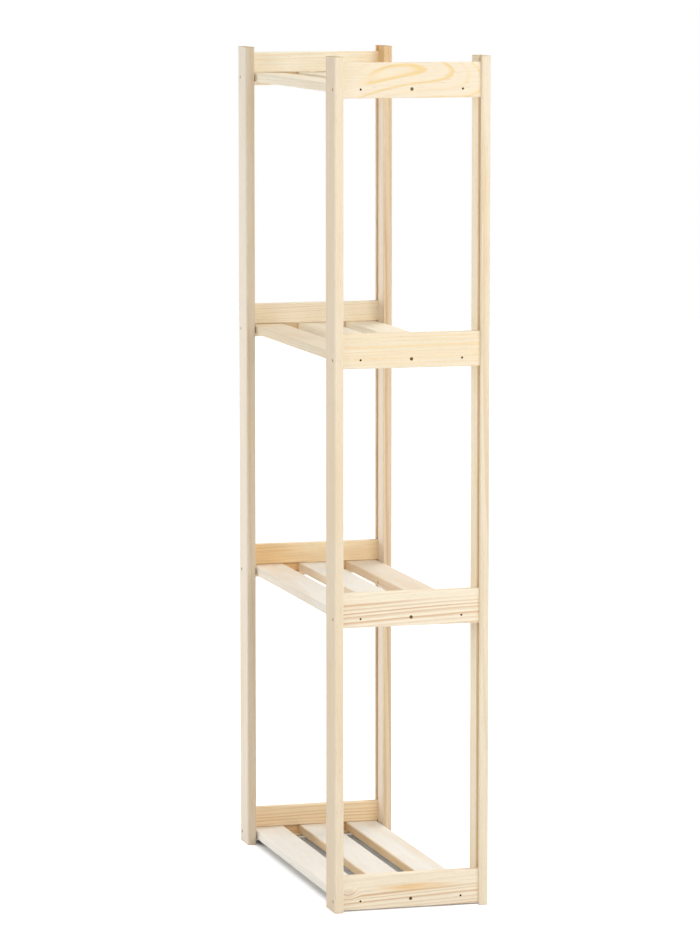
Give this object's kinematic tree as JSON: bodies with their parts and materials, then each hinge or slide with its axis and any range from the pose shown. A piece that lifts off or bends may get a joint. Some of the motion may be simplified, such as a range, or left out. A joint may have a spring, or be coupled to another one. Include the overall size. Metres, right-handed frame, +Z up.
{
  "type": "shelving unit",
  "caption": "Tall open shelving unit of pale softwood: ladder end frames of grooved posts and rails, joined by shelves of spaced slats.",
  "frame": {"origin": "middle of the footprint, on the floor under the posts", "axes": "+Z up along the posts, +X to the right along the slats as seen from the front, +Y from the front to the back across the depth"},
  "size_m": [0.77, 0.32, 1.71],
  "materials": {
    "post_wood": "planed, untreated",
    "rail_wood": "planed, untreated",
    "slat_wood": "planed, untreated",
    "fastener_steel": "dulled steel"
  },
  "bodies": {
    "root": {"post_front_left": "post_wood", "post_back_left": "post_wood", "post_front_right": "post_wood", "post_back_right": "post_wood", "rail_bottom_left": "rail_wood", "rail_lower_left": "rail_wood", "rail_upper_left": "rail_wood", "rail_top_left": "rail_wood", "rail_bottom_right": "rail_wood", "rail_lower_right": "rail_wood", "rail_upper_right": "rail_wood", "rail_top_right": "rail_wood", "slat_bottom_front": "slat_wood", "slat_bottom_middle": "slat_wood", "slat_bottom_back": "slat_wood", "slat_lower_front": "slat_wood", "slat_lower_middle": "slat_wood", "slat_lower_back": "slat_wood", "slat_upper_front": "slat_wood", "slat_upper_middle": "slat_wood", "slat_upper_back": "slat_wood", "slat_top_front": "slat_wood", "slat_top_middle": "slat_wood", "slat_top_back": "slat_wood", "post_screws": "fastener_steel", "slat_screws": "fastener_steel", "slat_nails": "fastener_steel"}
  },
  "joints": []
}
